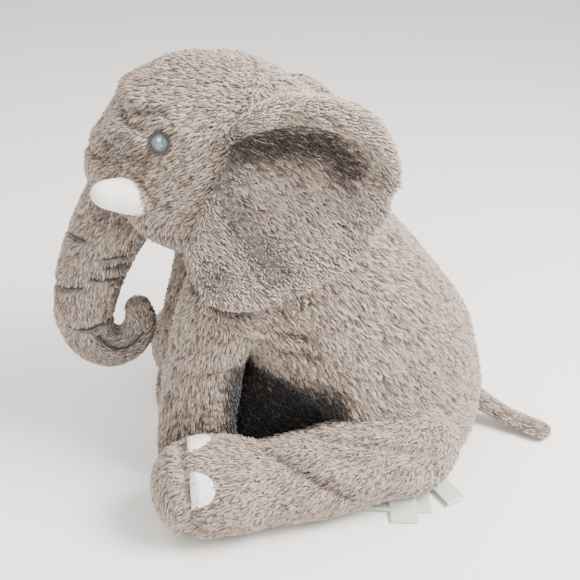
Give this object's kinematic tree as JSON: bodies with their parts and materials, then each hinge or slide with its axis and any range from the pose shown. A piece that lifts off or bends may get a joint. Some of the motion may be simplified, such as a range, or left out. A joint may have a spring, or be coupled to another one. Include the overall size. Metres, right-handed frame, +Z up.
{
  "type": "stuffed elephant",
  "caption": "Sitting stuffed elephant with fan ears, curled trunk, short tusks, sewn limbs and a flat seat.",
  "frame": {"origin": "middle of the seat contact, on the plane the toy sits on, between the hips", "axes": "+Z up, -Y the way the elephant faces, +X its left side"},
  "size_m": [0.326, 0.4803, 0.395],
  "materials": {
    "plush": "short pile plush, warm taupe grey, nap brushed",
    "ear_plush": "short pile plush, inner ear, slightly darker",
    "sole_plush": "short pile plush on the sole",
    "filling": "loose white polyester fibre",
    "pellet_cloth": "plain woven bag of pellets",
    "satin_ribbon": "satin ribbon, blank",
    "wrinkle_thread": "dark sewing thread",
    "embroidery": "satin stitch embroidery, grey blue",
    "white_plush": "smooth white short pile cloth",
    "white_felt": "white felt"
  },
  "bodies": {
    "torso": {"body_side_left": "plush", "body_side_right": "plush", "belly_gusset": "plush", "seat_panel": "plush", "body_stuffing": "filling", "neck_stuffing": "filling", "pellet_bag": "pellet_cloth", "care_label_strip": "satin_ribbon", "care_label_tag": "satin_ribbon", "care_label_loop": "satin_ribbon", "closing_stitches": "wrinkle_thread"},
    "head": {"head_side_left": "plush", "head_side_right": "plush", "forehead_gusset": "plush", "chin_gusset": "plush", "head_stuffing": "filling", "eye_left": "embroidery", "eye_right": "embroidery", "tusk_left": "white_plush", "tusk_right": "white_plush", "tusk_stuffing": "filling"},
    "trunk_upper": {"trunk_upper_cover": "plush", "trunk_upper_stuffing": "filling", "trunk_upper_threads": "wrinkle_thread"},
    "trunk_tip": {"trunk_tip_cover": "plush", "trunk_tip_stuffing": "filling", "trunk_tip_threads": "wrinkle_thread"},
    "ear_left": {"ear_left_front": "ear_plush", "ear_left_back": "plush"},
    "ear_right": {"ear_right_front": "ear_plush", "ear_right_back": "plush"},
    "front_leg_left": {"front_leg_left_cover": "plush", "front_leg_left_sole": "sole_plush", "front_leg_left_stuffing": "filling", "front_leg_left_toenails": "white_felt"},
    "front_leg_right": {"front_leg_right_cover": "plush", "front_leg_right_sole": "sole_plush", "front_leg_right_stuffing": "filling", "front_leg_right_toenails": "white_felt"},
    "hind_leg_left": {"hind_leg_left_cover": "plush", "hind_leg_left_sole": "sole_plush", "hind_leg_left_stuffing": "filling", "hind_leg_left_toenails": "white_felt"},
    "hind_leg_right": {"hind_leg_right_cover": "plush", "hind_leg_right_sole": "sole_plush", "hind_leg_right_stuffing": "filling", "hind_leg_right_toenails": "white_felt"},
    "tail": {"tail_cover": "plush", "tail_stuffing": "filling"}
  },
  "joints": [
    {"name": "head_nod", "type": "hinge", "parent": "torso", "child": "head", "pos_m": [0, -0.112, 0.262], "axis": [1, 0, 0], "range_deg": [-14, 2], "stiffness_Nm_per_rad": 6},
    {"name": "trunk_swing", "type": "hinge", "parent": "head", "child": "trunk_upper", "pos_m": [0, -0.21, 0.287], "axis": [1, 0, 0], "range_deg": [-22, 2], "stiffness_Nm_per_rad": 1.5},
    {"name": "trunk_curl", "type": "hinge", "parent": "trunk_upper", "child": "trunk_tip", "pos_m": [0, -0.266, 0.165], "axis": [1, 0, 0], "range_deg": [-28, 8], "stiffness_Nm_per_rad": 0.4},
    {"name": "ear_left_flap", "type": "hinge", "parent": "head", "child": "ear_left", "pos_m": [0.073, -0.149, 0.3025], "axis": [0.0189, -0.3973, -0.9175], "range_deg": [-5, 28], "stiffness_Nm_per_rad": 0.5},
    {"name": "ear_right_flap", "type": "hinge", "parent": "head", "child": "ear_right", "pos_m": [-0.073, -0.149, 0.3025], "axis": [0.0189, 0.7361, 0.6766], "range_deg": [-5, 28], "stiffness_Nm_per_rad": 0.5},
    {"name": "front_leg_left_swing", "type": "hinge", "parent": "torso", "child": "front_leg_left", "pos_m": [0.046, -0.142, 0.188], "axis": [1, 0, 0], "range_deg": [-4, 8], "stiffness_Nm_per_rad": 2},
    {"name": "front_leg_right_swing", "type": "hinge", "parent": "torso", "child": "front_leg_right", "pos_m": [-0.046, -0.142, 0.188], "axis": [1, 0, 0], "range_deg": [-4, 8], "stiffness_Nm_per_rad": 2},
    {"name": "hind_leg_left_splay", "type": "hinge", "parent": "torso", "child": "hind_leg_left", "pos_m": [0.088, 0.03, 0.044], "axis": [0, 0, 1], "range_deg": [0, 22], "stiffness_Nm_per_rad": 1.5},
    {"name": "hind_leg_right_splay", "type": "hinge", "parent": "torso", "child": "hind_leg_right", "pos_m": [-0.088, 0.03, 0.044], "axis": [0, 0, 1], "range_deg": [-22, 0], "stiffness_Nm_per_rad": 1.5},
    {"name": "tail_swing", "type": "hinge", "parent": "torso", "child": "tail", "pos_m": [0, 0.11, 0.036], "axis": [0, 0, 1], "range_deg": [-20, 20], "stiffness_Nm_per_rad": 0.2}
  ]
}
